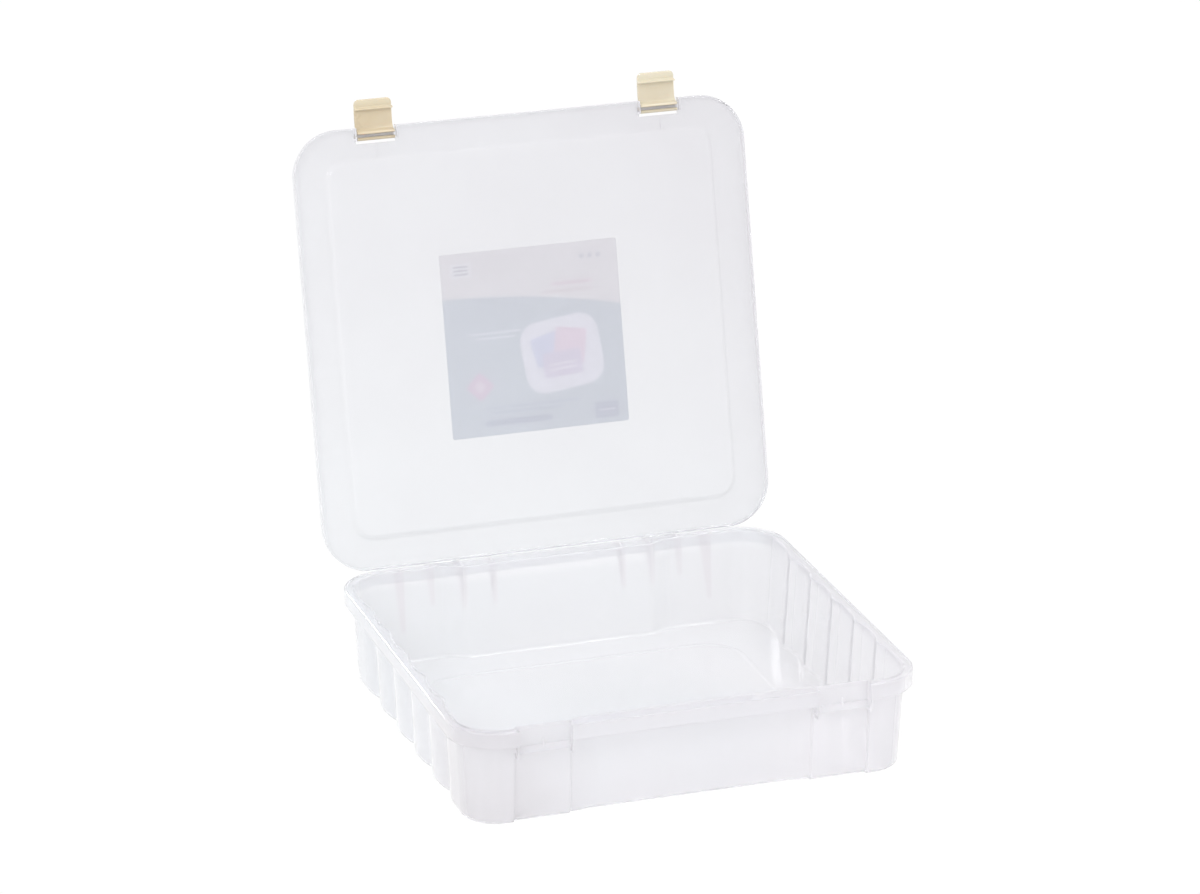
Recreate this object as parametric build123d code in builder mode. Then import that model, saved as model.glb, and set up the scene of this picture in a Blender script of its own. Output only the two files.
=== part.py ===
from build123d import *
import math
import os

# A shallow clear plastic case for large square sheets: a deep tray with fluted
# walls, a flat stepped lid hinged on the tray's back edge, two one-piece snap
# latches on the lid's front edge and a square label on the lid's outer face.
# Frame: +Z up, +X right, the hinge at +Y, the latches at -Y. The origin is the
# centre of the tray's underside. The lid stands open, leaning back on its stop.

# ---------------------------------------------------------------- dimensions
# tray
rim_w = 367.0           # rim, left to right
rim_d = 346.0           # rim, front to back
rim_h = 78.0            # rim top above the underside
rim_r = 38.0            # rim corner radius
bead_w = 266.0          # stiffening bead on the floor
bead_d = 242.0
bead_r = 34.0
wall_t = 1.8
flange_t = 1.8
skirt_h = 12.5          # down-turned skirt round the rim
skirt_t = 1.8
draft = 4.2             # how much the walls lean in from rim to base
base_r = 4.2            # round between wall and floor

crest_off = 6.2         # wall face behind the rim edge: flute crests and corners
cusp_off = 10.5         # wall face behind the rim edge: cusps between flutes
flute_pitch = 47.25
channel_off = 9.0       # latch channels in the front wall
channel_x0 = 96.0
channel_x1 = 140.0
sweep_off = 11.0        # where the front wall leaves the channel for the middle
centre_off = 13.0       # recessed middle of the front and back walls
centre_x = 76.0
sweep_x = 94.0

# keepers for the latches
latch_x = 117.6         # centre of each latch
recess_w = 41.0
keeper_nose_y = -168.4
keeper_under_z = 57.2
keeper_nose_z = 58.4
keeper_top_z = 62.0

# hinge
hinge_y = 177.2
hinge_z = 74.3
pin_r = 1.6
pin_bore_r = 1.67
knuckle_r = 3.2
ear_x = (79.0, 104.0)   # ribs that carry the hinge pin
ear_t = 2.4
rib_x = (54.0, 129.0)   # plain gusset ribs, inner and outer
rib_t = 2.0
open_angle = 103.0      # lid angle in the stored position, 0 is closed

# lid, measured closed
lid_w = 374.5
lid_d = 350.5
lid_r = 37.0
lid_t = 1.8
lid_z = 78.3            # underside of the border when closed
lid_skirt_h = 5.2
lid_skirt_t = 1.6
step_h = 2.5            # the middle panel lies this much lower than the border
step_w = 322.0
step_d = 303.0
step_r = 17.5
notch_w = 32.4
notch_d = 13.0
cheek_d = 10.3
bar_r = 2.0
bar_y = -168.6
bar_z = 77.1

# latches
latch_w = 30.4
clip_r = 4.0
clip_bore_r = 2.07
latch_t = 1.8
latch_len = 28.4
hook_u = 20.2
hook_t = 1.3
hook_tip = 2.0

# label
label_w = 148.0
label_t = 0.25
label_y = 5.7

os.makedirs("parts", exist_ok=True)

half_w = rim_w / 2
half_d = rim_d / 2


# ------------------------------------------------------------- wall outline
# The plan of the tray wall, o millimetres inside its outer face at the rim.
def wall_outline(o):
    xs = half_w - crest_off - o
    xc = half_w - cusp_off - o
    cx = half_w - rim_r
    cy = half_d - rim_r
    y_corner = half_d - crest_off - o
    y_channel = half_d - channel_off - o
    y_sweep = half_d - sweep_off - o
    y_centre = half_d - centre_off - o
    r = rim_r - crest_off - o
    k = r * math.sqrt(0.5)
    p = flute_pitch
    xm = (centre_x + channel_x0) / 2
    ym = (y_centre + y_corner) / 2
    xf = (centre_x + sweep_x) / 2
    yf = (y_centre + y_sweep) / 2
    for s in (1, -1):
        # back wall: recessed middle, sweep out to the corner
        Line((0, y_centre), (s * centre_x, y_centre))
        TangentArc((s * centre_x, y_centre), (s * xm, ym), tangent=(s, 0))
        TangentArc((s * channel_x0, y_corner), (s * xm, ym), tangent=(-s, 0))
        Line((s * channel_x0, y_corner), (s * cx, y_corner))
        ThreePointArc((s * cx, y_corner), (s * (cx + k), cy + k), (s * xs, cy))
        # side wall: half a flute, four flutes, half a flute
        Line((s * xs, cy), (s * xs, 2.5 * p))
        TangentArc((s * xs, 2.5 * p), (s * xc, 2 * p), tangent=(0, -1))
        for i in (2, 1, 0, -1):
            ThreePointArc((s * xc, i * p), (s * xs, (i - 0.5) * p), (s * xc, (i - 1) * p))
        TangentArc((s * xs, -2.5 * p), (s * xc, -2 * p), tangent=(0, 1))
        Line((s * xs, -2.5 * p), (s * xs, -cy))
        ThreePointArc((s * xs, -cy), (s * (cx + k), -cy - k), (s * cx, -y_corner))
        # front wall: corner, latch channel, sweep in to the recessed middle
        Line((s * cx, -y_corner), (s * channel_x1, -y_corner))
        Line((s * channel_x1, -y_corner), (s * (channel_x1 - 1), -y_channel))
        Line((s * (channel_x1 - 1), -y_channel), (s * channel_x0, -y_channel))
        Line((s * channel_x0, -y_channel), (s * sweep_x, -y_sweep))
        TangentArc((s * sweep_x, -y_sweep), (s * xf, -yf), tangent=(-s, 0))
        TangentArc((s * centre_x, -y_centre), (s * xf, -yf), tangent=(s, 0))
        Line((s * centre_x, -y_centre), (0, -y_centre))


# ---------------------------------------------------------------------- tray
round_steps = (0, 30, 60, 90)
outer_rows = [(rim_h, 0.0)]
inner_rows = [(rim_h + 2.0, wall_t - draft * 2.0 / (rim_h - base_r))]
for a in round_steps:
    ca, sa = math.cos(math.radians(a)), math.sin(math.radians(a))
    outer_rows.append((base_r * (1 - sa), draft + base_r * (1 - ca)))
    ri = base_r - wall_t
    inner_rows.append((wall_t + ri * (1 - sa), draft + wall_t + ri * (1 - ca)))

with BuildPart() as tray:
    # outer body of the walls and floor
    for (z1, o1), (z0, o0) in zip(outer_rows[:-1], outer_rows[1:]):
        for z, o in ((z0, o0), (z1, o1)):
            with BuildSketch(Plane.XY.offset(z)):
                with BuildLine():
                    wall_outline(o)
                make_face()
        loft(ruled=True)
    # rim flange and its down-turned skirt
    with BuildSketch(Plane.XY.offset(rim_h - flange_t)):
        RectangleRounded(rim_w, rim_d, rim_r)
    extrude(amount=flange_t)
    with BuildSketch(Plane.XY.offset(rim_h - skirt_h)):
        RectangleRounded(rim_w, rim_d, rim_r)
        RectangleRounded(rim_w - 2 * skirt_t, rim_d - 2 * skirt_t, rim_r - skirt_t, mode=Mode.SUBTRACT)
    extrude(amount=skirt_h)
    # latch recesses cut through the flange and skirt, each framed by two cheeks
    for s in (-1, 1):
        with BuildSketch(Plane.XY.offset(rim_h - skirt_h - 1)):
            with Locations((s * latch_x, -half_d + channel_off / 2)):
                Rectangle(recess_w, channel_off)
        extrude(amount=skirt_h + 2, mode=Mode.SUBTRACT)
        for e in (-1, 1):
            with BuildSketch(Plane.YZ.offset(s * latch_x + e * (recess_w / 2 + skirt_t / 2))):
                with BuildLine():
                    Polyline(
                        (-half_d, rim_h), (-half_d, rim_h - skirt_h), (-half_d + 2.2, keeper_under_z - 2.6),
                        (-half_d + channel_off + 2.4, keeper_under_z - 2.6), (-half_d + channel_off + 1.0, rim_h), close=True,
                    )
                make_face()
            extrude(amount=skirt_t / 2, both=True)
        # keeper ledge with a sloping top, and the small fin above its middle
        with BuildSketch(Plane.YZ.offset(s * latch_x)):
            with BuildLine():
                Polyline(
                    (-half_d + channel_off + 2.0, keeper_top_z), (-half_d + channel_off + 0.4, keeper_top_z),
                    (keeper_nose_y, keeper_nose_z), (keeper_nose_y, keeper_under_z),
                    (-half_d + channel_off + 2.0, keeper_under_z), close=True,
                )
            make_face()
        extrude(amount=recess_w / 2, both=True)
        with BuildSketch(Plane.YZ.offset(s * latch_x)):
            with BuildLine():
                Polyline(
                    (-half_d + channel_off + 1.4, keeper_top_z + 5.0), (-half_d + channel_off + 0.1, keeper_top_z + 5.0),
                    (keeper_nose_y + 1.6, keeper_nose_z + 1.2), (-half_d + channel_off + 1.4, keeper_nose_z + 1.2), close=True,
                )
            make_face()
        extrude(amount=0.8, both=True)
        # gusset ribs on the back wall, the outermost one deeper
        for x, low in ((rib_x[0], 40.0), (rib_x[1], 21.0)):
            with BuildSketch(Plane.YZ.offset(s * x)):
                with BuildLine():
                    Polyline(
                        (half_d - centre_off - 5.0, rim_h - 1), (half_d - 1, rim_h - 1), (half_d - 1, rim_h - skirt_h),
                        (half_d - crest_off + 0.6, rim_h - skirt_h - 8), (half_d - centre_off - 2.0, low),
                        (half_d - centre_off - 5.0, low), close=True,
                    )
                make_face()
            extrude(amount=rib_t / 2, both=True)
        # hinge ears: ribs that run out under the rim, with the stop heel
        for x in ear_x:
            with BuildSketch(Plane.YZ.offset(s * x)):
                with BuildLine():
                    Polyline(
                        (half_d - centre_off - 5.0, rim_h - 1), (half_d - 1, rim_h - 1),
                        (half_d - 1, hinge_z + 2.6), (hinge_y, hinge_z + 2.6), (hinge_y + 3.9, hinge_z + 0.25),
                        (hinge_y + 6.4, hinge_z + 0.25), (hinge_y + 6.4, hinge_z - 1.6), (hinge_y + 1.0, hinge_z - 4.0),
                        (half_d - crest_off + 0.6, rim_h - skirt_h - 8), (half_d - centre_off - 2.0, 42.0),
                        (half_d - centre_off - 5.0, 42.0), close=True,
                    )
                make_face()
            extrude(amount=ear_t / 2, both=True)
        # hinge pin moulded between the two ears
        with BuildSketch(Plane.YZ.offset(s * (ear_x[0] + ear_x[1]) / 2)):
            with Locations((hinge_y, hinge_z)):
                Circle(pin_r)
        extrude(amount=(ear_x[1] - ear_x[0]) / 2, both=True)
    # the inside of the tray
    for (z1, o1), (z0, o0) in zip(inner_rows[:-1], inner_rows[1:]):
        for z, o in ((z0, o0), (z1, o1)):
            with BuildSketch(Plane.XY.offset(z)):
                with BuildLine():
                    wall_outline(o)
                make_face()
        loft(ruled=True, mode=Mode.SUBTRACT)
    # stiffening bead round the middle of the floor
    with BuildSketch(Plane.XY.offset(wall_t - 0.3)):
        RectangleRounded(bead_w, bead_d, bead_r)
        RectangleRounded(bead_w - 4, bead_d - 4, bead_r - 2, mode=Mode.SUBTRACT)
    extrude(amount=1.1)
tray.part.label = "tray"
export_step(tray.part, "parts/tray.step")

# ----------------------------------------------------------------------- lid
# Everything on the lid is drawn in the closed position, relative to the hinge
# axis, on planes that are turned with it to the open position.
ca = math.cos(math.radians(open_angle))
sa = math.sin(math.radians(open_angle))


def turned(y, z):
    dy, dz = y - hinge_y, z - hinge_z
    return (hinge_y + dy * ca + dz * sa, hinge_z - dy * sa + dz * ca)


def lid_plane(z, y=0.0, x=0.0):
    py, pz = turned(y, z)
    return Plane(origin=(x, py, pz), x_dir=(1, 0, 0), z_dir=(0, sa, ca))


def lid_section(x):
    py, pz = turned(0.0, 0.0)
    return Plane(origin=(x, py, pz), x_dir=(0, ca, -sa), z_dir=(1, 0, 0))


with BuildPart() as lid:
    # border plate and skirt
    with BuildSketch(lid_plane(lid_z)):
        RectangleRounded(lid_w, lid_d, lid_r)
    extrude(amount=lid_t)
    with BuildSketch(lid_plane(lid_z - lid_skirt_h)):
        RectangleRounded(lid_w, lid_d, lid_r)
        RectangleRounded(lid_w - 2 * lid_skirt_t, lid_d - 2 * lid_skirt_t, lid_r - lid_skirt_t, mode=Mode.SUBTRACT)
    extrude(amount=lid_skirt_h + 0.2)
    # stepped middle panel, lower than the border
    with BuildSketch(lid_plane(lid_z - step_h)):
        RectangleRounded(step_w - 2 * step_h, step_d - 2 * step_h, step_r - step_h)
    with BuildSketch(lid_plane(lid_z)):
        RectangleRounded(step_w, step_d, step_r)
    loft(ruled=True)
    g = 0.75
    with BuildSketch(lid_plane(lid_z + lid_t - step_h)):
        RectangleRounded(step_w - 2 * (step_h + g), step_d - 2 * (step_h + g), step_r - step_h - g)
    with BuildSketch(lid_plane(lid_z + lid_t)):
        RectangleRounded(step_w - 2 * g, step_d - 2 * g, step_r - g)
    loft(ruled=True, mode=Mode.SUBTRACT)
    for s in (-1, 1):
        # latch notch in the front edge, with a cheek on each side and a pivot bar
        with BuildSketch(lid_plane(lid_z - lid_skirt_h)):
            with Locations((s * latch_x, -lid_d / 2 + cheek_d / 2)):
                Rectangle(notch_w + 2 * lid_skirt_t, cheek_d)
        extrude(amount=lid_skirt_h + 0.2)
        with BuildSketch(lid_plane(lid_z - lid_skirt_h - 1)):
            with Locations((s * latch_x, -lid_d / 2 + notch_d / 2 - 1)):
                Rectangle(notch_w, notch_d + 2)
        extrude(amount=lid_skirt_h + lid_t + 2, mode=Mode.SUBTRACT)
        with BuildSketch(lid_section(s * latch_x)):
            with Locations((bar_y, bar_z)):
                Circle(bar_r)
        extrude(amount=notch_w / 2 + 0.8, both=True)
        # small rib from the notch to the panel step
        with BuildSketch(lid_plane(lid_z - 2.0)):
            with Locations((s * latch_x, -lid_d / 2 + notch_d + 6.25)):
                Rectangle(1.6, 9.5)
        extrude(amount=2.2)
        # gaps in the back skirt for the tray's hinge ears
        for x in ear_x:
            with BuildSketch(lid_plane(lid_z - lid_skirt_h - 1)):
                with Locations((s * x, lid_d / 2 - 1.0)):
                    Rectangle(ear_t + 1.0, 4.0)
            extrude(amount=lid_skirt_h + 1, mode=Mode.SUBTRACT)
        # C-shaped knuckle that snaps on the pin, open towards the bottom
        with BuildSketch(lid_section(s * (ear_x[0] + ear_x[1]) / 2)):
            with Locations((hinge_y, hinge_z)):
                Circle(knuckle_r)
                Circle(pin_bore_r, mode=Mode.SUBTRACT)
            with BuildLine():
                Polyline(
                    (hinge_y + 0.5, hinge_z - 0.2), (hinge_y + 5.0, hinge_z - 1.6),
                    (hinge_y + 2.0, hinge_z - 5.0), (hinge_y - 0.9, hinge_z - 5.0), close=True,
                )
            make_face(mode=Mode.SUBTRACT)
        extrude(amount=(ear_x[1] - ear_x[0] - ear_t) / 2 - 0.5, both=True)
lid.part.label = "lid"
export_step(lid.part, "parts/lid.step")

# ------------------------------------------------------------------- latches
# Each latch is drawn in its own section: u runs from the pivot to the finger
# tab, w towards the inside of the lid, where the hook is.
bar_py, bar_pz = turned(bar_y, bar_z)
tab_dir = (0, -ca, sa)
tab_edge = math.hypot(0.3, latch_t)


def latch_section(x):
    return Plane(origin=(x, bar_py, bar_pz), x_dir=tab_dir, z_dir=(1, 0, 0))


with BuildSketch() as latch_profile:
    # clip that snaps on the pivot bar
    Circle(clip_r)
    # back plate, hollow towards the inside, and the finger tab
    with BuildLine():
        Line((0, -clip_r), (3.0, -clip_r))
        Spline((3.0, -clip_r), (9.0, -clip_r - 0.7), (15.0, -clip_r - 0.5), (hook_u, -clip_r + 0.1), (latch_len, -clip_r + 1.3))
        Line((latch_len, -clip_r + 1.3), (latch_len - 0.3, -clip_r + 1.3 + latch_t))
        Spline(
            (latch_len - 0.3, -clip_r + 1.3 + latch_t), (hook_u, -clip_r + 0.2 + latch_t), (15.0, -clip_r - 0.5 + latch_t),
            (9.0, -clip_r - 0.7 + latch_t), (5.2, -clip_r + 0.6 + latch_t), (3.2, 1.2),
        )
        Line((3.2, 1.2), (0, 0))
        Line((0, 0), (0, -clip_r))
    make_face()
    # hook ridge
    with BuildLine():
        Polyline(
            (hook_u, -clip_r + 0.6), (hook_u, hook_tip), (hook_u + hook_t * 0.6, hook_tip),
            (hook_u + hook_t + 0.9, -clip_r + 2.6), (hook_u + hook_t + 1.2, -clip_r + 0.9), close=True,
        )
    make_face()
    # bore and mouth of the clip
    Circle(clip_bore_r, mode=Mode.SUBTRACT)
    with BuildLine():
        Polyline((0.4, 0), (1.75, 5.0), (-3.6, 5.0), (-1.0, 0), close=True)
    make_face(mode=Mode.SUBTRACT)

with BuildPart() as latch_left:
    with BuildSketch(latch_section(-latch_x)):
        add(latch_profile.sketch)
    extrude(amount=latch_w / 2, both=True)
    fillet(latch_left.edges().filter_by(lambda e: abs(e.length - tab_edge) < 0.02), radius=4.0)
latch_left.part.label = "latch_left"
export_step(latch_left.part, "parts/latch_left.step")

with BuildPart() as latch_right:
    with BuildSketch(latch_section(latch_x)):
        add(latch_profile.sketch)
    extrude(amount=latch_w / 2, both=True)
    fillet(latch_right.edges().filter_by(lambda e: abs(e.length - tab_edge) < 0.02), radius=4.0)
latch_right.part.label = "latch_right"
export_step(latch_right.part, "parts/latch_right.step")

# --------------------------------------------------------------------- label
with BuildPart() as label:
    with BuildSketch(lid_plane(lid_z + lid_t - step_h, y=label_y)):
        Rectangle(label_w, label_w)
    extrude(amount=label_t)
label.part.label = "label"
export_step(label.part, "parts/label.step")
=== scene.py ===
import math

import bmesh
import bpy
import numpy as np
from mathutils import Matrix, Vector


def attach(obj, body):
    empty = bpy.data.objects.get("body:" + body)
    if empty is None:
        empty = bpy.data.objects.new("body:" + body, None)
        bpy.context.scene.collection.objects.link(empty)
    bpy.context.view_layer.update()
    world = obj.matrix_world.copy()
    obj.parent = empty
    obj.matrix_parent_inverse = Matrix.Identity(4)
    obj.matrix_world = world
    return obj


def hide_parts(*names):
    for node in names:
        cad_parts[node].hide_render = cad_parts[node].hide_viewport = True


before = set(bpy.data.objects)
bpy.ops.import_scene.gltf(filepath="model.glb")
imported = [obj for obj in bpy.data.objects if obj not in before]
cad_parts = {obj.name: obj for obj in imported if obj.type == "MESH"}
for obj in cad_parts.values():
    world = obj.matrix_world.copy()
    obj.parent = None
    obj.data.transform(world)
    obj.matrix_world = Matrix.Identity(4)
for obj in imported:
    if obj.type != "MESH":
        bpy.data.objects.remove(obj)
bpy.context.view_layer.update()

MM = 0.001

# ------------------------------------------------------------- dimensions, mm
RIM_W, RIM_D, RIM_H, RIM_R = 367.0, 346.0, 78.0, 38.0
WALL_T, FLANGE_T, SKIRT_H, SKIRT_T = 1.8, 1.8, 12.5, 1.8
DRAFT, BASE_R = 4.2, 4.2
CREST, CUSP, PITCH = 6.2, 10.5, 47.25
CHANNEL, CH_X0, CH_X1 = 9.0, 96.0, 140.0
SWEEP_OFF, SWEEP_X = 11.0, 94.0
CENTRE, CENTRE_X = 13.0, 76.0
LATCH_X, RECESS_W = 117.6, 41.0
KEEP_Y, KEEP_UNDER, KEEP_NOSE, KEEP_TOP = -168.4, 57.2, 58.4, 62.0
HINGE_Y, HINGE_Z, PIN_R, PIN_BORE, KNUCKLE_R = 177.2, 74.3, 1.6, 1.67, 3.2
EAR_X, EAR_T, RIB_X, RIB_T = (79.0, 104.0), 2.4, (54.0, 129.0), 2.0
OPEN = math.radians(103.0)
LID_W, LID_D, LID_R, LID_T, LID_Z = 374.5, 350.5, 37.0, 1.8, 78.3
LSK_H, LSK_T = 5.2, 1.6
STEP_H, STEP_W, STEP_D, STEP_R = 2.5, 322.0, 303.0, 17.5
NOTCH_W, NOTCH_D, CHEEK_D, BAR_R, BAR_Y, BAR_Z = 32.4, 13.0, 10.3, 2.0, -168.6, 77.1
LATCH_W, CLIP_R, CLIP_BORE, LATCH_T, LATCH_LEN, HOOK_U, HOOK_T, HOOK_TIP = 30.4, 4.0, 2.07, 1.8, 28.4, 20.2, 1.3, 2.0
HW, HD = RIM_W / 2, RIM_D / 2
CX, CY = HW - RIM_R, HD - RIM_R


def turned(y, z):
    """Closed-lid position to the open position, mm."""
    dy, dz = y - HINGE_Y, z - HINGE_Z
    c, s = math.cos(OPEN), math.sin(OPEN)
    return HINGE_Y + dy * c + dz * s, HINGE_Z - dy * s + dz * c


def turn_mesh(co):
    """N x 3 closed-lid coordinates in mm to open-lid coordinates."""
    out = co.copy()
    out[:, 1], out[:, 2] = turned(co[:, 1], co[:, 2])
    return out


# ------------------------------------------------------------------ plan rings
def smooth(t):
    t = np.clip(t, 0, 1)
    return t * t * (3 - 2 * t)


def side_off(y, k):
    """Wall face behind the rim edge on the left and right: convex flutes, their cusps rounded by k."""
    sag = CUSP - CREST
    r = ((PITCH / 2) ** 2 + sag**2) / (2 * sag)
    centres = [(i - 1.5) * PITCH for i in range(4)]
    parts = []
    for c in centres:
        d = np.minimum(np.abs(y - c), r * 0.999)
        parts.append(CREST + r - np.sqrt(r * r - d * d))
    for s in (-1, 1):
        c = s * 2.5 * PITCH
        d = np.where(s * y > s * c, 0.0, np.minimum(np.abs(y - c), r * 0.999))
        parts.append(CREST + r - np.sqrt(r * r - d * d))
    f = np.array(parts)
    m = f.min(0)
    return m - k * np.log(np.exp(-(f - m) / k).sum(0)) + 0.0


def front_off(x):
    a = np.abs(x)
    off = np.full_like(a, CENTRE)
    t = smooth((a - CENTRE_X) / (SWEEP_X - CENTRE_X))
    off = CENTRE + (SWEEP_OFF - CENTRE) * t
    t = smooth((a - SWEEP_X) / (CH_X0 - SWEEP_X))
    off = off + (CHANNEL - SWEEP_OFF) * t
    t = smooth((a - (CH_X1 - 1.2)) / 1.2)
    return off + (CREST - CHANNEL) * t


def back_off(x):
    a = np.abs(x)
    return CENTRE + (CREST - CENTRE) * smooth((a - CENTRE_X) / (CH_X0 - CENTRE_X))


def spaced(lo, hi, extra, step=3.0):
    """Values from lo to hi about step apart, and finer round the extra ones."""
    v = set(np.round(np.linspace(lo, hi, max(2, int((hi - lo) / step) + 1)), 4))
    for c, w, n in extra:
        v |= set(np.round(np.clip(np.linspace(c - w, c + w, n), lo, hi), 4))
    v = np.array(sorted(v))
    keep = [v[0]]
    for x in v[1:]:
        if x - keep[-1] > 0.12:
            keep.append(x)
    keep[-1] = hi
    return np.array(keep)


CORNER_N = 22
YS = spaced(-CY, CY, [(i * PITCH, 3.5, 15) for i in (-2, -1, 0, 1, 2)], 2.4)
XF = spaced(0, CX, [(CH_X1 - 0.6, 1.6, 13), (95.0, 2.2, 13), (85.0, 9.0, 13), (LATCH_X - RECESS_W / 2, 0.1, 2), (LATCH_X + RECESS_W / 2, 0.1, 2)], 6.0)
XF = np.concatenate([-XF[:0:-1], XF])
ANG = np.linspace(0, math.pi / 2, CORNER_N + 2)[1:-1]


def ring_from(side, front, back, rx, a, b):
    """One closed plan ring. side(y), front(x), back(x) give the distance behind half sizes a, b; rx is the corner radius there.
    Points go round from the right side's front end, anticlockwise. The number of points is the same for every ring."""
    cx, cy = a[0], a[1]
    pts = []
    s = side(YS)
    ys = YS * (cy / CY)
    pts += list(zip(b[0] - s, ys))  # right side, front to back
    pts += [(cx + rx * math.cos(t), cy + rx * math.sin(t)) for t in ANG]  # back right
    xs = XF[::-1] * (cx / CX)
    pts += list(zip(xs, b[1] - back(XF[::-1])))  # back, right to left
    pts += [(-cx - rx * math.sin(t), cy + rx * math.cos(t)) for t in ANG]
    pts += list(zip(-(b[0] - s[::-1]), ys[::-1]))
    pts += [(-cx - rx * math.cos(t), -cy - rx * math.sin(t)) for t in ANG]
    xs = XF * (cx / CX)
    pts += list(zip(xs, -(b[1] - front(XF))))
    pts += [(cx + rx * math.sin(t), -cy - rx * math.cos(t)) for t in ANG]
    return np.array(pts)


def wall_ring(o, k):
    return ring_from(
        lambda y: side_off(y, k) + o, lambda x: front_off(x) + o, lambda x: back_off(x) + o,
        RIM_R - CREST - o, (CX, CY), (HW, HD),
    )


def rect_ring(a, b, r):
    zero = lambda v: np.zeros_like(v)
    return ring_from(zero, zero, zero, r, (a - r, b - r), (a, b))


def rim_ring(i):
    return rect_ring(HW - i, HD - i, RIM_R - i)


def lathe(name, rows):
    """A closed shell from rings: rows is a list of (ring, z). The first and the last ring are capped."""
    n = len(rows[0][0])
    co = np.concatenate([np.column_stack([r, np.full(n, z) if np.isscalar(z) else z]) for r, z in rows])
    faces = []
    for k in range(len(rows) - 1):
        a, b = k * n, (k + 1) * n
        for i in range(n):
            j = (i + 1) % n
            faces.append((a + i, a + j, b + j, b + i))
    first, last = len(co), len(co) + 1
    co = np.concatenate([co, [[0, 0, co[0, 2]], [0, 0, co[(len(rows) - 1) * n, 2]]]])
    for i in range(n):
        j = (i + 1) % n
        faces.append((j, i, first))
        faces.append(((len(rows) - 1) * n + i, (len(rows) - 1) * n + j, last))
    return co, faces


def arc(o0, z0, o1, z1, n, turn):
    """Quarter round from (o0,z0) to (o1,z1) in n steps, without its ends. turn +1: the first move is along o, -1: along z."""
    out = []
    for k in range(1, n):
        t = k / n * math.pi / 2
        if turn > 0:
            out.append((o0 + (o1 - o0) * math.sin(t), z0 + (z1 - z0) * (1 - math.cos(t))))
        else:
            out.append((o0 + (o1 - o0) * (1 - math.cos(t)), z0 + (z1 - z0) * math.sin(t)))
    return out


def make_object(name, co, faces, turn=False):
    if turn:
        co = turn_mesh(np.asarray(co, float))
    me = bpy.data.meshes.new(name)
    me.from_pydata([tuple(c * MM for c in v) for v in co], [], faces)
    me.validate()
    bm = bmesh.new()
    bm.from_mesh(me)
    bmesh.ops.recalc_face_normals(bm, faces=bm.faces)
    bm.to_mesh(me)
    bm.free()
    ob = bpy.data.objects.new(name, me)
    bpy.context.scene.collection.objects.link(ob)
    return ob


def prism(name, poly, lo, hi, axis="x", turn=False):
    """A closed prism of a polygon. axis x: poly is (y, z) and it runs from x lo to x hi; axis z: poly is (x, y)."""
    n = len(poly)
    if axis == "x":
        co = [(lo, p[0], p[1]) for p in poly] + [(hi, p[0], p[1]) for p in poly]
    else:
        co = [(p[0], p[1], lo) for p in poly] + [(p[0], p[1], hi) for p in poly]
    faces = [tuple(range(n)), tuple(range(2 * n - 1, n - 1, -1))]
    faces += [(i, i + n, (i + 1) % n + n, (i + 1) % n) for i in range(n)]
    return make_object(name, np.array(co, float), faces, turn)


def box_poly(x0, x1, y0, y1):
    return [(x0, y0), (x1, y0), (x1, y1), (x0, y1)]


def circle(cy, cz, r, n=40):
    return [(cy + r * math.cos(2 * math.pi * i / n), cz + r * math.sin(2 * math.pi * i / n)) for i in range(n)]


def soften(ob, width, segments=2, angle=30):
    m = ob.modifiers.new("edge", "BEVEL")
    m.width, m.segments, m.limit_method, m.angle_limit = width * MM, segments, "ANGLE", math.radians(angle)
    m.harden_normals = False
    apply_all(ob)


def apply_all(ob):
    dg = bpy.context.evaluated_depsgraph_get()
    me = bpy.data.meshes.new_from_object(ob.evaluated_get(dg))
    old = ob.data
    ob.modifiers.clear()
    ob.data = me
    bpy.data.meshes.remove(old)


def combine(base, others, op):
    for o in others:
        m = base.modifiers.new("b", "BOOLEAN")
        m.operation, m.object, m.solver = op, o, "MANIFOLD"
    apply_all(base)
    for o in others:
        bpy.data.objects.remove(o)


def shade(ob, angle=32):
    me = ob.data
    for p in me.polygons:
        p.use_smooth = True
    me.set_sharp_from_angle(angle=math.radians(angle))


# ------------------------------------------------------------------------ tray
def wall_rows(pairs, k=0.8):
    return [(wall_ring(o, k), z) for o, z in pairs]


rows = []
# flat underside, outer round and wall
rows.append((rect_ring(70.0, 65.0, 12.0), 0.0))
rows.append((rect_ring(146.0, 138.0, 16.0), 0.0))
rows += wall_rows([(DRAFT + BASE_R + 0.6, 0.0), (DRAFT + BASE_R, 0.0)])
rows += wall_rows([(DRAFT + o, z) for o, z in arc(BASE_R, 0.0, 0.0, BASE_R, 8, 1)])
wall_lo, wall_hi = BASE_R, RIM_H - FLANGE_T
slope = DRAFT / (RIM_H - wall_lo)
for z in (wall_lo, wall_lo + 1.0, 30.0, 55.0, wall_hi - 1.4, wall_hi - 0.8):
    rows += wall_rows([((RIM_H - z) * slope, z)])
o_top = (RIM_H - wall_hi) * slope
rows += wall_rows(arc(o_top, wall_hi - 0.8, o_top - 0.8, wall_hi, 3, -1))
rows += wall_rows([(o_top - 0.8, wall_hi), (o_top - 1.2, wall_hi)])
# under the flange, inner face of the skirt, its lip, outer face, rim edge
for i, z in [(3.2, wall_hi), (2.6, wall_hi)] + arc(2.6, wall_hi, SKIRT_T, wall_hi - 0.8, 4, 1) + [
    (SKIRT_T, wall_hi - 0.8), (SKIRT_T, wall_hi - 1.4), (SKIRT_T - 0.1, 67.0), (SKIRT_T - 0.1, 66.1),
] + arc(SKIRT_T - 0.1, 66.1, 1.1, 65.5, 4, -1) + [(1.1, 65.5), (0.6, 65.5)] + arc(0.6, 65.5, 0.0, 66.1, 4, 1) + [
    (0.0, 66.1), (0.0, 66.8), (0.0, 76.0), (0.0, 76.8),
] + arc(0.0, 76.8, 1.2, 78.0, 6, -1) + [(1.2, 78.0), (1.7, 78.0)]:
    rows.append((rim_ring(i), z))
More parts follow.
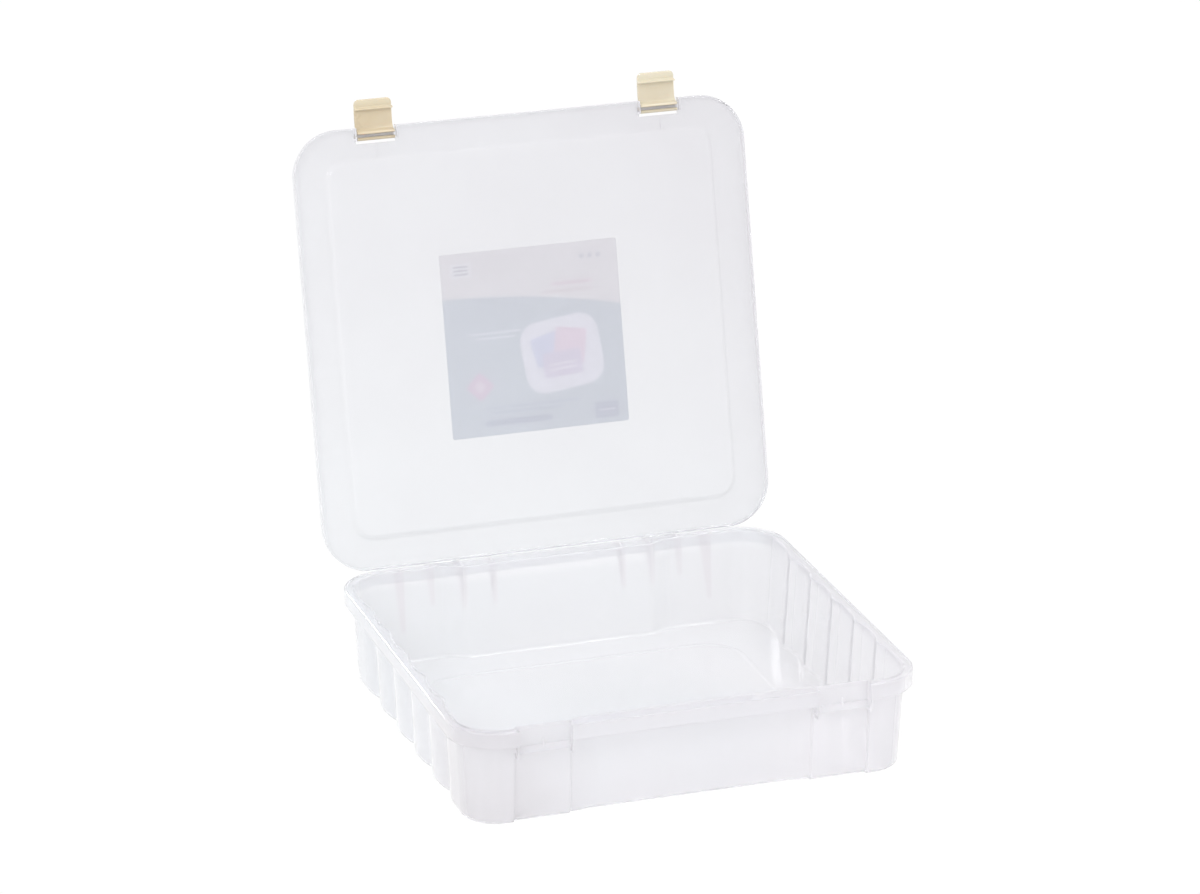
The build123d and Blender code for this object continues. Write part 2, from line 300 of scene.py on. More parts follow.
# flange top, inner edge, inner wall, inner round
rows += wall_rows([(0.3, 78.0), (0.8, 78.0)] + arc(0.8, 78.0, WALL_T, 77.0, 5, 1), 1.5)
for z in (77.0, 76.4, 55.0, 30.0, wall_lo + 1.0, wall_lo):
    rows += wall_rows([(WALL_T + (RIM_H - z) * slope, z)], 1.5)
ri = BASE_R - WALL_T
rows += wall_rows(arc(DRAFT + WALL_T, wall_lo, DRAFT + WALL_T + ri, WALL_T, 6, -1), 1.5)
rows += wall_rows([(DRAFT + BASE_R, WALL_T), (DRAFT + BASE_R + 0.5, WALL_T)], 1.5)
# stiffening bead on the floor, and its middle
for i, z in [(-2.0, 1.8), (-1.4, 1.8), (-0.8, 1.8), (-0.2, 1.83), (0.4, 1.95), (1.1, 2.1), (1.7, 2.16), (2.3, 2.16), (2.9, 2.1), (3.6, 1.95), (4.2, 1.83), (4.8, 1.8), (5.4, 1.8), (6.0, 1.8)]:
    rows.append((rect_ring(133.0 - i, 121.0 - i, 34.0 - i), z))
rows.append((rect_ring(60.0, 60.0, 20.0), 1.8))
co, faces = lathe("tray_shell", rows)
tray = make_object("tray_shell", co, faces)

add, cut = [], []
wall_y = -HD + CHANNEL
for s in (-1, 1):
    x0, x1 = sorted((s * LATCH_X - RECESS_W / 2, s * LATCH_X + RECESS_W / 2))
    cut.append(prism("c", box_poly(x0, x1, -HD - 2, wall_y - 0.02), 60.0, RIM_H + 2, "z"))
    for x, e in ((x0, -1), (x1, 1)):
        lo, hi = sorted((x, x + e * SKIRT_T))
        add.append(prism("a", [(-HD + 0.02, RIM_H - 0.02), (-HD + 0.02, RIM_H - SKIRT_H), (-HD + 2.2, KEEP_UNDER - 2.6), (wall_y + 2.4, KEEP_UNDER - 2.6), (wall_y + 1.0, RIM_H - 0.02)], lo, hi))
        soften(add[-1], 0.35)
    add.append(prism("a", [(wall_y + 2.0, KEEP_TOP), (wall_y + 0.4, KEEP_TOP), (KEEP_Y, KEEP_NOSE), (KEEP_Y, KEEP_UNDER), (wall_y + 2.0, KEEP_UNDER)], x0 - 0.5, x1 + 0.5))
    soften(add[-1], 0.3)
    add.append(prism("a", [(wall_y + 1.4, KEEP_TOP + 5), (wall_y + 0.1, KEEP_TOP + 5), (KEEP_Y + 1.6, KEEP_NOSE + 1.2), (wall_y + 1.4, KEEP_NOSE + 1.2)], s * LATCH_X - 0.8, s * LATCH_X + 0.8))
    for x, low in ((RIB_X[0], 40.0), (RIB_X[1], 21.0)):
        wy = HD - (CENTRE if x < 80 else CREST)
        add.append(prism("a", [(HD - 1, RIM_H - 1), (HD - 1, RIM_H - SKIRT_H), (HD - 7.4, RIM_H - SKIRT_H - 8), (wy - (RIM_H - low) * slope + 0.4, low), (wy - (RIM_H - low) * slope - 1.0, low), (wy - 1.4, RIM_H - 1)], s * x - RIB_T / 2, s * x + RIB_T / 2))
    for x in EAR_X:
        wy = HD - (CENTRE if x < 80 else CREST)
        add.append(prism("a", [
            (wy - 1.4, RIM_H - 1), (HD - 1, RIM_H - 1), (HD - 1, HINGE_Z + 2.6), (HINGE_Y, HINGE_Z + 2.6), (HINGE_Y + 3.9, HINGE_Z + 0.25),
            (HINGE_Y + 6.4, HINGE_Z + 0.25), (HINGE_Y + 6.4, HINGE_Z - 1.6), (HINGE_Y + 1.0, HINGE_Z - 4.0),
            (HD - 6.4, RIM_H - SKIRT_H - 8), (wy - 36.0 * slope + 0.4, 42.0), (wy - 36.0 * slope - 1.0, 42.0)], s * x - EAR_T / 2, s * x + EAR_T / 2))
    a, b = sorted((s * EAR_X[0], s * EAR_X[1]))
    add.append(prism("a", circle(HINGE_Y, HINGE_Z, PIN_R), a, b))
combine(tray, cut, "DIFFERENCE")
combine(tray, add, "UNION")
shade(tray)
print("tray mesh", len(tray.data.vertices), len(tray.data.polygons))

# ------------------------------------------------------------------------- lid
YS_full, XF_full = YS, XF
YS = spaced(-CY, CY, [], 20.0)
XF = spaced(0, CX, [], 20.0)
XF = np.concatenate([-XF[:0:-1], XF])
rows = []
top, under = LID_Z + LID_T, LID_Z
g = 0.75


def step_ring(i):
    return rect_ring(STEP_W / 2 - i, STEP_D / 2 - i, max(5.0, STEP_R - i))


def lid_ring(i):
    return rect_ring(LID_W / 2 - i, LID_D / 2 - i, LID_R - i)


# outer face of the panel, step up, border, edge
for i, z in [(60.0, top - STEP_H), (STEP_H + g + 1.6, top - STEP_H), (STEP_H + g + 0.7, top - STEP_H), (STEP_H + g + 0.2, top - STEP_H + 0.12), (STEP_H + g - 0.3, top - STEP_H + 0.42),
             (g + 0.3, top - 0.42), (g - 0.2, top - 0.12), (g - 0.7, top), (g - 1.6, top)]:
    rows.append((step_ring(i), z))
for i, z in [(2.2, top), (1.4, top)] + arc(1.4, top, 0.0, top - 1.4, 7, 1) + [(0.0, top - 1.4), (0.0, top - 2.0), (0.0, 74.2), (0.0, 73.6)] + arc(0.0, 73.6, 0.5, 73.1, 4, -1) + [
    (0.5, 73.1), (1.1, 73.1)] + arc(1.1, 73.1, 1.6, 73.6, 4, 1) + [(1.6, 73.6), (1.6, 74.2), (1.6, under - 1.4), (1.6, under - 0.8)] + arc(1.6, under - 0.8, 2.4, under, 4, -1) + [(2.4, under), (3.0, under)]:
    rows.append((lid_ring(i), z))
for i, z in [(-1.6, under), (-0.7, under), (-0.2, under - 0.12), (0.3, under - 0.42), (STEP_H - 0.3, under - STEP_H + 0.42), (STEP_H + 0.2, under - STEP_H + 0.12),
             (STEP_H + 0.7, under - STEP_H), (STEP_H + 1.6, under - STEP_H), (60.0, under - STEP_H)]:
    rows.append((step_ring(i), z))
co, faces = lathe("lid_shell", rows)
lid = make_object("lid_shell", co, faces, turn=True)
add, cut, late = [], [], []
front = -LID_D / 2
for s in (-1, 1):
    cx = s * LATCH_X
    for e in (-1, 1):
        a, b = sorted((cx + e * NOTCH_W / 2, cx + e * (NOTCH_W / 2 + LSK_T)))
        add.append(prism("a", box_poly(a - (0.5 if e > 0 else 0), b + (0.5 if e < 0 else 0), front + 0.02, front + CHEEK_D), LID_Z - LSK_H, LID_Z + 0.4, "z", True))
        soften(add[-1], 0.3)
    cut.append(prism("c", box_poly(cx - NOTCH_W / 2, cx + NOTCH_W / 2, front - 2, front + NOTCH_D), LID_Z - LSK_H - 1, LID_Z + LID_T + 1, "z", True))
    late.append(prism("a", circle(BAR_Y, BAR_Z, BAR_R), cx - NOTCH_W / 2 - 0.8, cx + NOTCH_W / 2 + 0.8, "x", True))
    late.append(prism("a", box_poly(cx - 0.8, cx + 0.8, front + NOTCH_D + 1.5, front + NOTCH_D + 11.0), LID_Z - 2.0, LID_Z + 0.3, "z", True))
    soften(late[-1], 0.3)
    for x in EAR_X:
        cut.append(prism("c", box_poly(s * x - EAR_T / 2 - 0.5, s * x + EAR_T / 2 + 0.5, -front - 3.0, -front + 1.0), LID_Z - LSK_H - 1, LID_Z - 0.02, "z", True))
    mid, half = s * (EAR_X[0] + EAR_X[1]) / 2, (EAR_X[1] - EAR_X[0] - EAR_T) / 2 - 0.5
    ring = []
    for k in range(41):
        t = math.radians(-12 + (360 - 100) * k / 40)
        ring.append((HINGE_Y + KNUCKLE_R * math.cos(t), HINGE_Z + KNUCKLE_R * math.sin(t)))
    for k in range(40, -1, -1):
        t = math.radians(-12 + (360 - 100) * k / 40)
        ring.append((HINGE_Y + PIN_BORE * math.cos(t), HINGE_Z + PIN_BORE * math.sin(t)))
    late.append(prism("a", ring, mid - half, mid + half, "x", True))
combine(lid, add, "UNION")
combine(lid, cut, "DIFFERENCE")
combine(lid, late, "UNION")
shade(lid)
print("lid mesh", len(lid.data.vertices), len(lid.data.polygons))


# --------------------------------------------------------------------- latches
def catmull(pts, n=8):
    p = [np.array(q, float) for q in pts]
    p = [2 * p[0] - p[1]] + p + [2 * p[-1] - p[-2]]
    out = []
    for i in range(1, len(p) - 2):
        for k in range(n):
            t = k / n
            out.append(0.5 * ((2 * p[i]) + (-p[i - 1] + p[i + 1]) * t + (2 * p[i - 1] - 5 * p[i] + 4 * p[i + 1] - p[i + 2]) * t * t + (-p[i - 1] + 3 * p[i] - 3 * p[i + 1] + p[i + 2]) * t**3))
    out.append(p[-2])
    return [tuple(q) for q in out]


def latch_outline():
    """Closed (u, w) outline: C-clip, hollow back plate, hook ridge, finger tab."""
    r, t = CLIP_R, LATCH_T
    back = [(0.0, -r)] + catmull([(3.0, -r), (9.0, -r - 0.7), (15.0, -r - 0.5), (HOOK_U, -r + 0.1), (LATCH_LEN - 0.5, -r + 1.22)])
    end = [(LATCH_LEN, -r + 1.5), (LATCH_LEN - 0.26, -r + 1.0 + t), (LATCH_LEN - 0.7, -r + 1.2 + t)]
    inner_tab = catmull([(LATCH_LEN - 0.7, -r + 1.2 + t), (25.0, -r + 0.75 + t), (HOOK_U + HOOK_T + 1.1, -r + 0.35 + t)])[1:]
    hook = [(HOOK_U + HOOK_T + 0.5, -r + 1.2 + t), (HOOK_U + HOOK_T, HOOK_TIP - 1.2), (HOOK_U + HOOK_T * 0.6, HOOK_TIP), (HOOK_U + 0.1, HOOK_TIP), (HOOK_U, HOOK_TIP - 0.2), (HOOK_U, -r + t + 0.5)]
    hollow = catmull([(HOOK_U - 0.5, -r + 0.1 + t), (15.0, -r - 0.5 + t), (9.0, -r - 0.7 + t), (6.0, -r + 0.1 + t), (4.3, -0.4), (3.9, 1.0)])
    clip = []
    a0, a1 = math.atan2(1.0, 3.9), math.radians(66)
    for k in range(1, 9):
        a = a0 + (a1 - a0) * k / 8
        clip.append((r * math.cos(a), r * math.sin(a)))
    b0, b1 = math.radians(62), math.radians(130 - 360)
    bore = [(CLIP_BORE * math.cos(b0 + (b1 - b0) * k / 28), CLIP_BORE * math.sin(b0 + (b1 - b0) * k / 28)) for k in range(29)]
    c0, c1 = math.radians(127), math.radians(270)
    outer = [(r * math.cos(c0 + (c1 - c0) * k / 20), r * math.sin(c0 + (c1 - c0) * k / 20)) for k in range(20)]
    return back + end + inner_tab + hook + hollow + clip + bore + outer


by, bz = turned(BAR_Y, BAR_Z)
U = Vector((0, -math.cos(OPEN), math.sin(OPEN)))
W = Vector((0, -math.sin(OPEN), -math.cos(OPEN)))


def build_latch(name, cx):
    out = latch_outline()
    n = len(out)
    pts = [(x, u, w) for x in (-LATCH_W / 2, LATCH_W / 2) for u, w in out]
    co = np.array([Vector((cx, by, bz)) + Vector((x, 0, 0)) + U * u + W * w for x, u, w in pts])
    faces = [tuple(range(n)), tuple(range(2 * n - 1, n - 1, -1))] + [(i, i + n, (i + 1) % n + n, (i + 1) % n) for i in range(n)]
    ob = make_object(name, co, faces)
    # rounded corners at the finger tab: a plan-shaped cutter in x, u
    plan, r = [], 4.2
    h = LATCH_W / 2
    plan += [(-h - 1, -8), (h + 1, -8), (h + 1, HOOK_U + 1.6), (h, HOOK_U + 1.9)]
    plan += [(h - r + r * math.cos(t), LATCH_LEN + 0.1 - r + r * math.sin(t)) for t in np.linspace(0, math.pi / 2, 12)]
    plan += [(-h + r - r * math.sin(t), LATCH_LEN + 0.1 - r + r * math.cos(t)) for t in np.linspace(0, math.pi / 2, 12)]
    plan += [(-h, HOOK_U + 1.9), (-h - 1, HOOK_U + 1.6)]
    m = len(plan)
    co = np.array([Vector((cx, by, bz)) + Vector((x, 0, 0)) + U * u + W * w for w in (-12, 12) for x, u in plan])
    faces = [tuple(range(m)), tuple(range(2 * m - 1, m - 1, -1))] + [(i, i + m, (i + 1) % m + m, (i + 1) % m) for i in range(m)]
    combine(ob, [make_object("c", co, faces)], "INTERSECT")
    soften(ob, 0.28, 2, 35)
    shade(ob, 40)
    return ob


latches = {n: build_latch(n + "_shell", s * LATCH_X) for n, s in (("latch_left", -1), ("latch_right", 1))}
for n, o in latches.items():
    print(n, len(o.data.vertices), len(o.data.polygons))


# ------------------------------------------------------------------- materials
def new_material(name):
    m = bpy.data.materials.new(name)
    m.use_nodes = True
    nt = m.node_tree
    return m, nt, nt.nodes["Principled BSDF"]


def put(nt, socket, value):
    if hasattr(value, "is_linked"):
        nt.links.new(value, socket)
    elif value is not None:
        socket.default_value = value


def maths(nt, op, a, b=None):
    n = nt.nodes.new("ShaderNodeMath")
    n.operation = op
    put(nt, n.inputs[0], a)
    put(nt, n.inputs[1], b)
    return n.outputs[0]


def vmath(nt, op, a, b=None):
    n = nt.nodes.new("ShaderNodeVectorMath")
    n.operation = op
    put(nt, n.inputs[0], a)
    put(nt, n.inputs[1], b)
    return n.outputs["Value"] if op in ("LENGTH", "DOT_PRODUCT") else n.outputs["Vector"]


def tex_noise(nt, scale, detail=3, rough=0.5, vec=None):
    n = nt.nodes.new("ShaderNodeTexNoise")
    n.inputs["Scale"].default_value = scale
    n.inputs["Detail"].default_value = detail
    n.inputs["Roughness"].default_value = rough
    put(nt, n.inputs["Vector"], vec)
    return n.outputs["Fac"]


def coords(nt):
    return nt.nodes.new("ShaderNodeTexCoord").outputs["Object"]


def bump(nt, height, strength, distance, prev=None):
    b = nt.nodes.new("ShaderNodeBump")
    b.inputs["Strength"].default_value = strength
    b.inputs["Distance"].default_value = distance
    put(nt, b.inputs["Height"], height)
    put(nt, b.inputs["Normal"], prev)
    return b.outputs["Normal"]


def ramp(nt, value, lo, hi, to_lo, to_hi):
    r = nt.nodes.new("ShaderNodeMapRange")
    put(nt, r.inputs["Value"], value)
    for k, v in (("From Min", lo), ("From Max", hi), ("To Min", to_lo), ("To Max", to_hi)):
        r.inputs[k].default_value = v
    return r.outputs["Result"]


def blend(nt, factor, a, b):
    m = nt.nodes.new("ShaderNodeMix")
    m.data_type = "RGBA"
    put(nt, m.inputs[0], factor)
    put(nt, m.inputs[6], a if hasattr(a, "is_linked") else (*a, 1))
    put(nt, m.inputs[7], b if hasattr(b, "is_linked") else (*b, 1))
    return m.outputs[2]


def clear_plastic(name, tint_lo, second, way, lo, hi, rough, clear, painted_glow, patches=(), rib_shade=()):
    """Moulded clear plastic: a faint tint that drifts across the part along way (painted shade on the lid), tint
    patches about given points, a painted-light lighter band along the back rim and painted-shade bands beside the back
    ribs, a faint painted glow, slow waviness, orange peel and handling haze.
    """
    m, nt, p = new_material(name)
    p.inputs["Transmission Weight"].default_value = clear
    p.inputs["IOR"].default_value = 1.20
    p.inputs["Specular IOR Level"].default_value = 1.0
    p.inputs["Coat Weight"].default_value = 0.6
    p.inputs["Coat Roughness"].default_value = 0.05
    # painted light: a faint emission makes the clear plastic glow
    p.inputs["Emission Color"].default_value = (0.97, 0.97, 1.0, 1)
    p.inputs["Emission Strength"].default_value = painted_glow
    vec = coords(nt)
    # the tint runs between the two given colours along the drift; on the lid this is painted shade, darker towards its
    # top and right side
    drift = maths(nt, "ADD", vmath(nt, "DOT_PRODUCT", vec, way), ramp(nt, tex_noise(nt, 7.0, 3, 0.5, vec), 0.3, 0.7, -0.25, 0.25))
    tint = blend(nt, ramp(nt, drift, lo, hi, 0, 1), tint_lo, second)
    # tint patches about given points, fading out with distance; painted shade and painted light among them
    for at, near, far, colour in patches:
        tint = blend(nt, ramp(nt, vmath(nt, "LENGTH", vmath(nt, "SUBTRACT", vec, at)), near, far, 1, 0), tint, colour)
    if rib_shade:
        part = nt.nodes.new("ShaderNodeSeparateXYZ")
        nt.links.new(vec, part.inputs[0])
        behind = ramp(nt, part.outputs[1], 0.148, 0.152, 0, 1)
        # painted light: the band along the back rim and skirt is tinted lighter, against the shade of the extra layers
        # behind the back wall
        lit_back_band = maths(nt, "MULTIPLY", behind, ramp(nt, part.outputs[2], 0.062, 0.067, 0, 1))
        tint = blend(nt, lit_back_band, tint, (0.871, 0.876, 0.892))
    for x, z, wide, colour in rib_shade:
        # painted shade: the wall is tinted darker in a band where a rib runs into it, tapering downward
        s = maths(nt, "SUBTRACT", x + 0.0015, part.outputs[0])
        edge = maths(nt, "SUBTRACT", ramp(nt, part.outputs[2], z, 0.074, 0.0035, wide), s)
        band = maths(nt, "MULTIPLY", ramp(nt, s, -0.0008, 0.0008, 0, 1), ramp(nt, edge, -0.0015, 0.0015, 0, 1))
        band = maths(nt, "MULTIPLY", band, ramp(nt, part.outputs[2], z - 0.002, z + 0.002, 0, 1))
        band = maths(nt, "MULTIPLY", band, ramp(nt, part.outputs[2], 0.064, 0.072, 1, 0.5))
        tint = blend(nt, maths(nt, "MULTIPLY", band, behind), tint, colour)
    nt.links.new(tint, p.inputs["Base Color"])
    n = bump(nt, tex_noise(nt, 9.0, 2, 0.5, vec), 0.15, 0.0008)
    n = bump(nt, tex_noise(nt, 420.0, 4, 0.6, vec), 0.12, 0.00002, n)
    nt.links.new(n, p.inputs["Normal"])
    wear = tex_noise(nt, 60.0, 5, 0.65, vec)
    nt.links.new(ramp(nt, wear, 0.35, 0.75, rough, rough + 0.05), p.inputs["Roughness"])
    return m


# painted shade tints for the bands beside the back ribs
rib_shade_tints = {129: (0.806, 0.789, 0.813), 104: (0.813, 0.799, 0.822), 79: (0.833, 0.823, 0.845), 54: (0.824, 0.812, 0.835)}
tray_mat = clear_plastic(
    "clear_tray", (0.848, 0.838, 0.856), (0.836, 0.846, 0.864), (-2.0, 2.0, 0.0), -0.6, 0.6, 0.03, 0.70, 0.050,
    (
        # painted shade: the front-left corner is tinted darker
        ((-0.165, -0.150, 0.03), 0.04, 0.095, (0.795, 0.783, 0.800)),
        # a darker, bluer patch in the middle of the floor
        ((0.0, -0.02, 0.0), 0.06, 0.14, (0.802, 0.812, 0.830)),
        # painted light: the front part of the right wall and flange is tinted lighter
        ((0.185, -0.12, 0.045), 0.05, 0.12, (0.860, 0.852, 0.870)),
    ),
    [(x * MM, z * MM, w * MM, rib_shade_tints[abs(x)]) for x, z, w in (
        (-129, 26, 8), (-104, 46, 6), (-79, 43, 8), (-54, 44, 6), (54, 44, 7), (79, 42, 8), (104, 46, 6), (129, 23, 10),
    )],
)
# painted shade: the lid's tint runs darker towards its top and right side
lid_mat = clear_plastic("clear_lid", (0.702, 0.695, 0.719), (0.777, 0.787, 0.804), (-1.6, 0.0, -3.0), -1.5, 0.0, 0.03, 0.78, 0.061)

# ivory latches: satin, softly mottled
ivory, nt, p = new_material("ivory_plastic")
vec = coords(nt)
blotch = tex_noise(nt, 55.0, 3, 0.5, vec)
# painted light: the finger tab is tinted lighter than the concave middle of the latch
tab_light_along = maths(nt, "SUBTRACT", vmath(nt, "DOT_PRODUCT", vec, tuple(U)), (by * U.y + bz * U.z) * MM)
tone = blend(nt, ramp(nt, blotch, 0.35, 0.65, 0, 1), (0.575, 0.483, 0.335), (0.605, 0.517, 0.37))
tone = blend(nt, ramp(nt, tab_light_along, 0.019, 0.023, 0, 1), tone, (0.63, 0.56, 0.415))
# painted light: the right latch is tinted lighter and greener than the left
side = nt.nodes.new("ShaderNodeSeparateXYZ")
nt.links.new(vec, side.inputs[0])
nt.links.new(blend(nt, ramp(nt, side.outputs[0], -0.05, 0.05, 0, 0.14), tone, (0.88, 0.96, 0.90)), p.inputs["Base Color"])
nt.links.new(bump(nt, tex_noise(nt, 900.0, 3, 0.6, vec), 0.2, 0.00003), p.inputs["Normal"])
nt.links.new(ramp(nt, blotch, 0.3, 0.7, 0.26, 0.34), p.inputs["Roughness"])
p.inputs["Subsurface Weight"].default_value = 0.12
p.inputs["Subsurface Radius"].default_value = (1.0, 0.7, 0.4)
p.inputs["Subsurface Scale"].default_value = 0.002

# label: a generic printed film, its colours in the label's own plane (x across, v up the lid), mm
label_mat, nt, p = new_material("label_print")
ly, lz = turned(5.7, LID_Z + LID_T - STEP_H)
up = (0.0, -math.cos(OPEN), math.sin(OPEN))
pos = vmath(nt, "SCALE", coords(nt), None)
pos.node.inputs["Scale"].default_value = 1000.0
sep = nt.nodes.new("ShaderNodeSeparateXYZ")
nt.links.new(pos, sep.inputs[0])
v = maths(nt, "SUBTRACT", vmath(nt, "DOT_PRODUCT", pos, up), up[1] * ly + up[2] * lz)
plane = nt.nodes.new("ShaderNodeCombineXYZ")
nt.links.new(sep.outputs[0], plane.inputs[0])
nt.links.new(v, plane.inputs[1])
plane = plane.outputs[0]


def mark(cx, cy, hx, hy, r, angle=0.0):
    """1 inside a rounded box of half sizes hx, hy about (cx, cy), turned by angle degrees."""
    q = vmath(nt, "SUBTRACT", plane, (cx, cy, 0))
    if angle:
        t = nt.nodes.new("ShaderNodeVectorRotate")
        t.rotation_type = "Z_AXIS"
        t.inputs["Angle"].default_value = math.radians(-angle)
        nt.links.new(q, t.inputs["Vector"])
        q = t.outputs[0]
    q = vmath(nt, "SUBTRACT", vmath(nt, "ABSOLUTE", q), (hx - r, hy - r, 0))
    d = maths(nt, "SUBTRACT", vmath(nt, "LENGTH", vmath(nt, "MAXIMUM", q, (0, 0, 0))), r)
    return ramp(nt, d, -0.25, 0.25, 1.0, 0.0)


# pale upper field, blue-grey lower field with a gently curved join
bow = maths(nt, "MULTIPLY", maths(nt, "POWER", maths(nt, "ADD", maths(nt, "MULTIPLY", sep.outputs[0], 1 / 148.0), 0.5), 2.0), -17.0)
join = maths(nt, "SUBTRACT", maths(nt, "SUBTRACT", v, 38.0), bow)
paint = blend(nt, ramp(nt, join, -0.4, 0.4, 0.0, 1.0), (0.715, 0.750, 0.803), (0.885, 0.868, 0.885))
for shape, colour in (
    (mark(22, -14, 33, 29, 16, 7), (0.890, 0.885, 0.935)),
    (mark(13, -9, 15, 12, 2, 14), (0.760, 0.775, 0.905)),
    (mark(29, -8, 13, 14, 2, -9), (0.875, 0.760, 0.850)),
    (mark(22, -22, 16, 10, 2, 4), (0.800, 0.745, 0.860)),
    (mark(22, -22, 12, 1.0, 0.9, 4), (0.890, 0.860, 0.920)),
    (mark(22, -26, 12, 1.0, 0.9, 4), (0.890, 0.860, 0.920)),
    (mark(-48, -34, 8.5, 8.5, 2.5, 45), (0.800, 0.660, 0.780)),
    (mark(-48, -34, 4.0, 4.0, 1.2, 45), (0.880, 0.800, 0.870)),
    (mark(-57, 60, 9, 6, 1.5), (0.93, 0.92, 0.945)),
    (mark(-57, 60, 6.0, 0.8, 0.7), (0.66, 0.66, 0.72)),
    (mark(-57, 63, 6.0, 0.8, 0.7), (0.66, 0.66, 0.72)),
    (mark(-57, 57, 6.0, 0.8, 0.7), (0.66, 0.66, 0.72)),
    (mark(44, 62, 2.2, 2.2, 2.1), (0.72, 0.71, 0.77)),
    (mark(51, 62, 2.2, 2.2, 2.1), (0.72, 0.71, 0.77)),
    (mark(58, 62, 2.2, 2.2, 2.1), (0.72, 0.71, 0.77)),
    (mark(34, 42, 17, 1.5, 1.4), (0.84, 0.74, 0.80)),
    (mark(30, 36, 21, 1.5, 1.4), (0.84, 0.79, 0.82)),
    (mark(-33, 8, 22, 0.8, 0.7), (0.86, 0.87, 0.92)),
    (mark(-33, 4, 17, 0.8, 0.7), (0.86, 0.87, 0.92)),
    (mark(-6, -52, 40, 0.8, 0.7), (0.66, 0.69, 0.78)),
    (mark(-10, -56, 30, 0.8, 0.7), (0.66, 0.69, 0.78)),
    (mark(-18, -64, 28, 2.4, 2.3), (0.60, 0.62, 0.72)),
    (mark(56, -63, 10, 6.5, 1.2), (0.60, 0.62, 0.72)),
    (mark(56, -63, 7, 0.7, 0.6), (0.80, 0.81, 0.88)),
):
    paint = blend(nt, shape, paint, colour)
fibre = tex_noise(nt, 700.0, 4, 0.6, coords(nt))
paint = blend(nt, ramp(nt, fibre, 0.3, 0.7, 0.0, 0.06), paint, (0.80, 0.80, 0.86))
nt.links.new(paint, p.inputs["Base Color"])
nt.links.new(ramp(nt, fibre, 0.3, 0.7, 0.38, 0.5), p.inputs["Roughness"])
nt.links.new(bump(nt, fibre, 0.15, 0.00003), p.inputs["Normal"])
second = nt.nodes.new("ShaderNodeBsdfTranslucent")
nt.links.new(paint, second.inputs["Color"])
both = nt.nodes.new("ShaderNodeMixShader")
both.inputs[0].default_value = 0.80
nt.links.new(p.outputs[0], both.inputs[1])
nt.links.new(second.outputs[0], both.inputs[2])
nt.links.new(both.outputs[0], nt.nodes["Material Output"].inputs["Surface"])

for ob, mat, node, body, slot in (
    (tray, tray_mat, "tray", "tray", "clear_tray"),
    (lid, lid_mat, "lid", "lid", "clear_lid"),
    (latches["latch_left"], ivory, "latch_left", "latch_left", "ivory_latch"),
    (latches["latch_right"], ivory, "latch_right", "latch_right", "ivory_latch"),
):
    ob.data.materials.clear()
    ob.data.materials.append(mat)
    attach(ob, body)
    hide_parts(node)

# the label: a thin sheet with small corner rounds, a hair off the panel
gap, film = 0.04, 0.2
half, cr = 73.9, 1.5
face = LID_Z + LID_T - STEP_H
edge = [(sx * (half - cr) + cr * math.cos(t0 + t), sy * (half - cr) + cr * math.sin(t0 + t)) for sx, sy, t0 in ((1, 1, 0.0), (-1, 1, math.pi / 2), (-1, -1, math.pi), (1, -1, 1.5 * math.pi)) for t in np.linspace(0, math.pi / 2, 6)]
label = prism("label_sheet", [(a, b + 5.7) for a, b in edge], face + gap, face + gap + film, "z", True)
label.data.materials.append(label_mat)
shade(label)
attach(label, "lid")
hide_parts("label")

# ----------------------------------------------------------------------- stage
me = bpy.data.meshes.new("floor")
me.from_pydata([(x, y, -0.0003) for x, y in ((-30, -30), (30, -30), (30, 30), (-30, 30))], [], [(0, 1, 2, 3)])
floor = bpy.data.objects.new("floor", me)
bpy.context.scene.collection.objects.link(floor)
fm, nt, p = new_material("floor_white")
p.inputs["Base Color"].default_value = (0.0, 0.0, 0.0, 1)
p.inputs["Roughness"].default_value = 0.9
p.inputs["Specular IOR Level"].default_value = 0.0
p.inputs["Emission Color"].default_value = (1, 1, 1, 1)
p.inputs["Emission Strength"].default_value = 1.01
me.materials.append(fm)

world = bpy.data.worlds.new("studio")
bpy.context.scene.world = world
world.use_nodes = True
nt = world.node_tree
bg = nt.nodes["Background"]
tc = nt.nodes.new("ShaderNodeTexCoord")
sep = nt.nodes.new("ShaderNodeSeparateXYZ")
nt.links.new(tc.outputs["Generated"], sep.inputs[0])
cr = nt.nodes.new("ShaderNodeValToRGB")
stops = [(0.0, (0.98, 0.98, 0.98)), (0.06, (0.90, 0.90, 0.905)), (0.16, (0.66, 0.66, 0.67)), (0.34, (0.74, 0.74, 0.75)), (0.56, (0.78, 0.78, 0.79)), (1.0, (0.76, 0.76, 0.77))]
while len(cr.color_ramp.elements) < len(stops):
    cr.color_ramp.elements.new(0.5)
for el, (at, col) in zip(cr.color_ramp.elements, stops):
    el.position, el.color = at, (*col, 1)
nt.links.new(sep.outputs["Z"], cr.inputs[0])
boost = 1.0
for way, near, amount in (((-0.52, -0.78, 0.35), 0.55, 0.9), ((0.78, -0.52, 0.35), 0.60, 0.6)):
    lobe = ramp(nt, vmath(nt, "DOT_PRODUCT", tc.outputs["Generated"], way), near, 0.97, 0.0, amount)
    boost = maths(nt, "ADD", lobe, boost)
nt.links.new(boost, bg.inputs["Strength"])
nt.links.new(cr.outputs[0], bg.inputs["Color"])



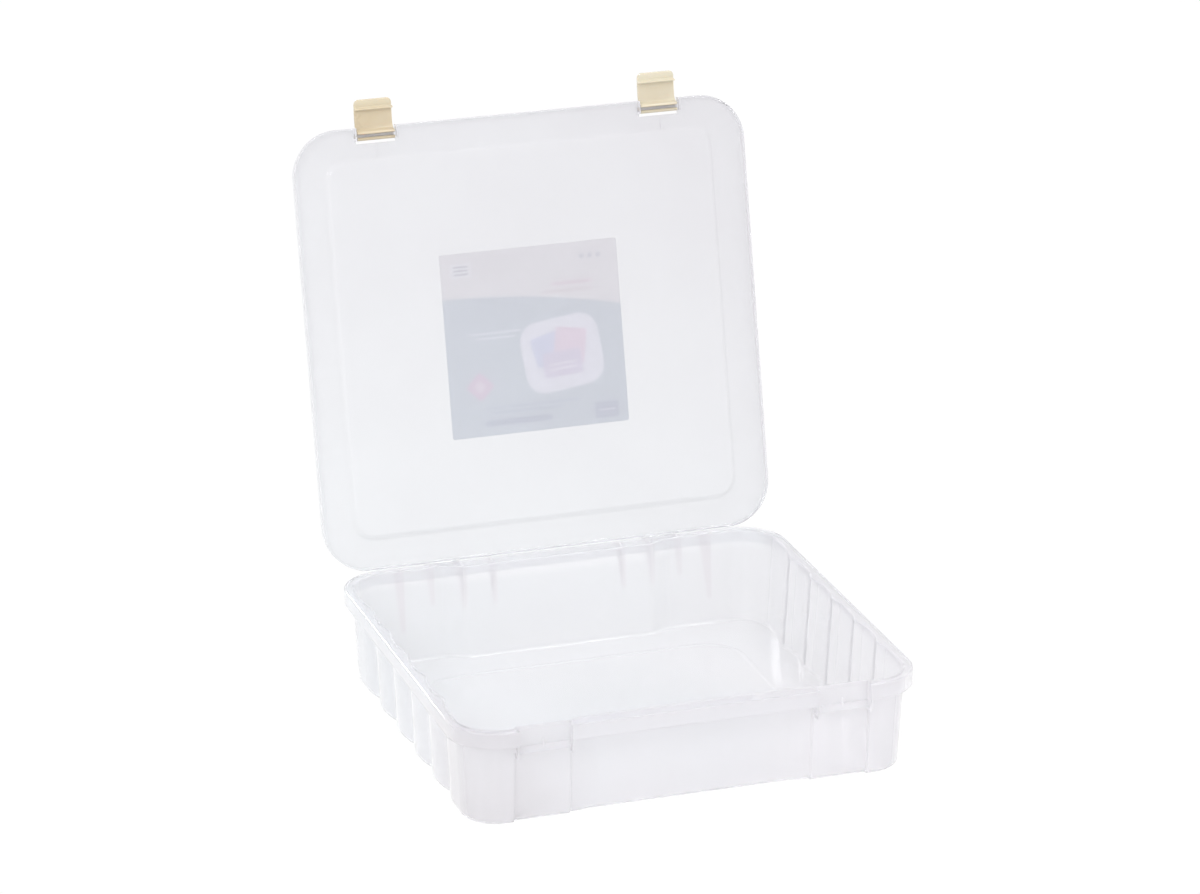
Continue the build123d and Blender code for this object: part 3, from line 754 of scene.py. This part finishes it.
def area(name, loc, target, size, power, size_y=None):
    d = bpy.data.lights.new(name, "AREA")
    d.shape = "RECTANGLE"
    d.size, d.size_y = size, size_y or size
    d.energy = power
    o = bpy.data.objects.new(name, d)
    bpy.context.scene.collection.objects.link(o)
    o.location = loc
    o.rotation_mode = "QUATERNION"
    o.rotation_quaternion = (Vector(target) - Vector(loc)).to_track_quat("-Z", "Y")
    return o


area("key", (-1.9, -1.5, 1.9), (0, 0, 0.15), 1.0, 16, 0.5)
area("top", (0.95, 0.25, 2.9), (0, 0, 0.1), 0.35, 18, 0.9)
area("rear_left", (-1.75, 1.75, 1.8), (0, 0, 0.1), 0.8, 8, 0.4)
area("rear", (-0.5, 2.8, 1.42), (-0.15, 0, 0.1), 0.35, 16, 0.35)

# ---------------------------------------------------------------------- camera
K = 1.05
F_PX, AZ, EL, ROLL = 5081.13, math.radians(-18.4), math.radians(20.03), math.radians(-0.2)
TX, TY, DIST = -16.84 * K, 130.64 * K, 3728.41 * K
back = np.array([math.sin(AZ) * math.cos(EL), -math.cos(AZ) * math.cos(EL), math.sin(EL)])
x = np.cross([0, 0, 1.0], back)
x /= np.linalg.norm(x)
y = np.cross(back, x)
xr = math.cos(ROLL) * x + math.sin(ROLL) * y
yr = -math.sin(ROLL) * x + math.cos(ROLL) * y
loc = (xr * TX + yr * TY + back * DIST + np.array([0, 0, RIM_H])) * MM
cam_data = bpy.data.cameras.new("camera")
cam = bpy.data.objects.new("camera", cam_data)
bpy.context.scene.collection.objects.link(cam)
cam_data.sensor_width = 36.0
cam_data.lens = F_PX * 36.0 / 1200.0
cam_data.clip_start, cam_data.clip_end = 0.05, 200.0
cam.matrix_world = Matrix([[xr[i], yr[i], back[i], loc[i]] for i in range(3)] + [[0, 0, 0, 1]])
bpy.context.scene.camera = cam

sc = bpy.context.scene
sc.view_settings.view_transform = "Standard"
sc.view_settings.look = "None"
sc.view_settings.exposure = 0.0
sc.view_settings.gamma = 1.0
sc.cycles.max_bounces = 48
sc.cycles.transmission_bounces = 48
sc.cycles.glossy_bounces = 32
sc.cycles.diffuse_bounces = 24
sc.cycles.transparent_max_bounces = 16
sc.cycles.use_denoising = True
sc.cycles.sample_clamp_indirect = 6.0
